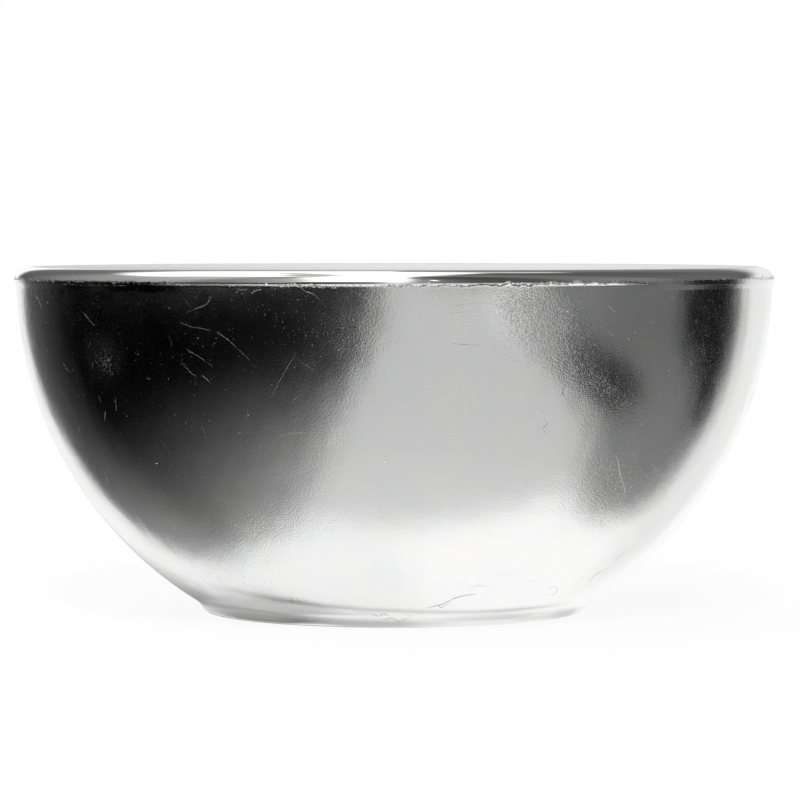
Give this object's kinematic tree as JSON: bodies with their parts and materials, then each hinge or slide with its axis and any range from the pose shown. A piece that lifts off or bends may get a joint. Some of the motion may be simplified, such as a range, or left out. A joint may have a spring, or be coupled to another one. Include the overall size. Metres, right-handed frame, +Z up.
{
  "type": "footed hemispherical glass dish",
  "caption": "Hemispherical clear glass dish with a rounded lip and a low foot, its outside covered from under the lip to the foot in silver leaf.",
  "frame": {"origin": "middle of the flat ring that the dish stands on", "axes": "+Z up along the dish's axis; -Y towards the side the picture was taken from"},
  "size_m": [0.14, 0.14, 0.0637],
  "materials": {
    "clear_glass": "fire-polished",
    "wall_leaf": "polished",
    "base_leaf": "gloss"
  },
  "bodies": {
    "root": {"glass_bowl": "clear_glass", "wall_leaf_1": "wall_leaf", "wall_leaf_2": "wall_leaf", "wall_leaf_3": "wall_leaf", "wall_leaf_4": "wall_leaf", "wall_leaf_5": "wall_leaf", "wall_leaf_6": "wall_leaf", "base_leaf": "base_leaf"}
  },
  "joints": []
}
